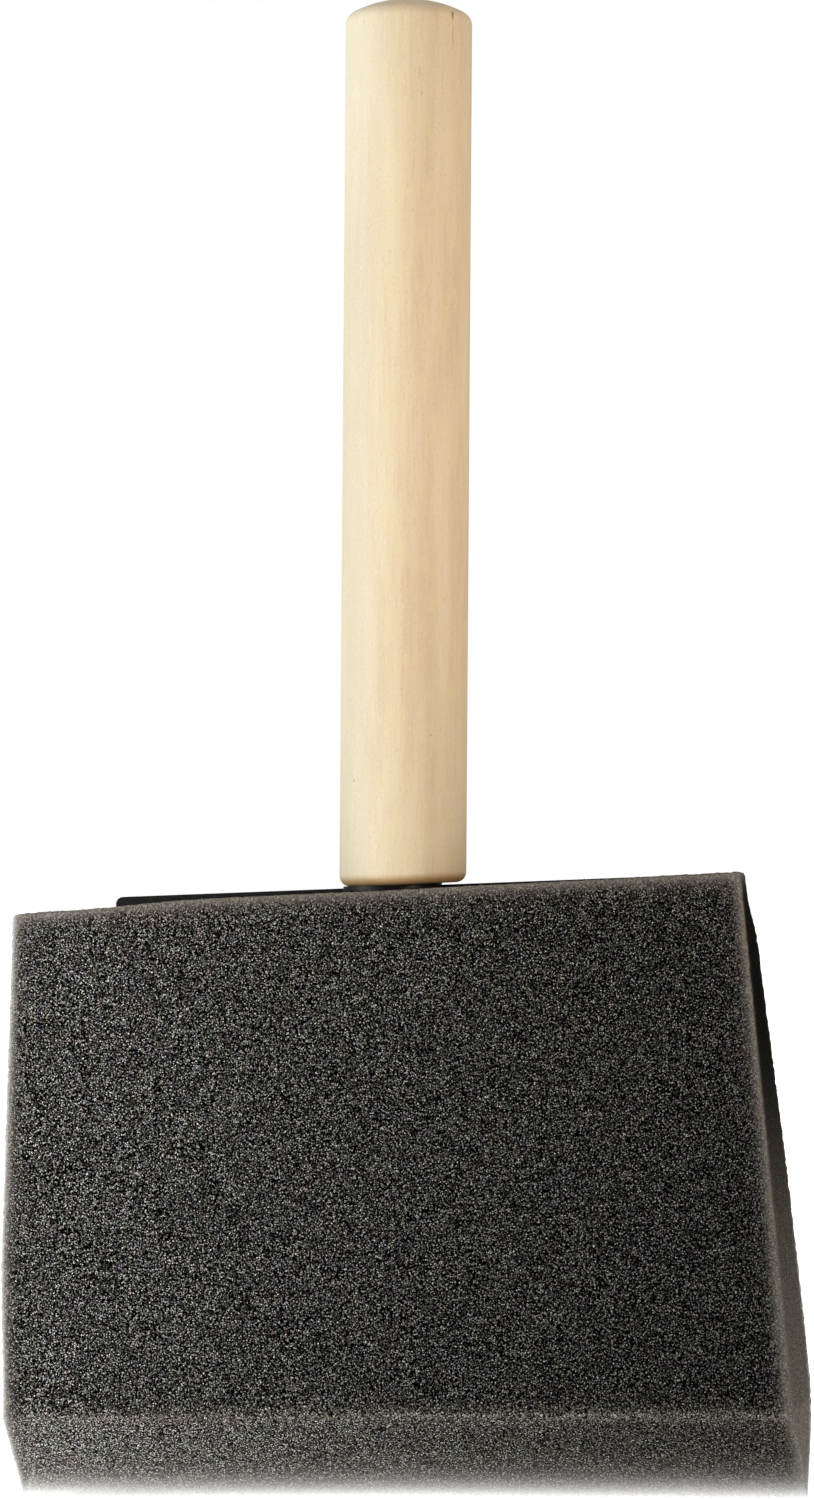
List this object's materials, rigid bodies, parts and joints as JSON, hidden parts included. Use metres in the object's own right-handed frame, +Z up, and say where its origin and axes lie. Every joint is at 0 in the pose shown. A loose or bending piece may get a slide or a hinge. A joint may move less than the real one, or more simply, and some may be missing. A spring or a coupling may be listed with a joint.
{
  "type": "foam sponge brush",
  "caption": "Wide foam brush: an open-cell foam head with a chisel tip, slit over a moulded insert whose stem is glued into a round wooden handle.",
  "frame": {"origin": "under the middle of the foam's chisel tip, at the level of its lower corner", "axes": "+Z up along the handle, X along the foam's width, -Y towards the front face of the foam"},
  "size_m": [0.1004, 0.022, 0.19],
  "materials": {
    "foam": "matte",
    "insert_plastic": "satin",
    "hot_melt_glue": "satin",
    "handle_wood": "matte",
    "wood_glue": "satin"
  },
  "bodies": {
    "root": {"foam_head": "foam", "insert": "insert_plastic", "foam_glue": "hot_melt_glue", "handle": "handle_wood", "handle_glue": "wood_glue"}
  },
  "joints": []
}
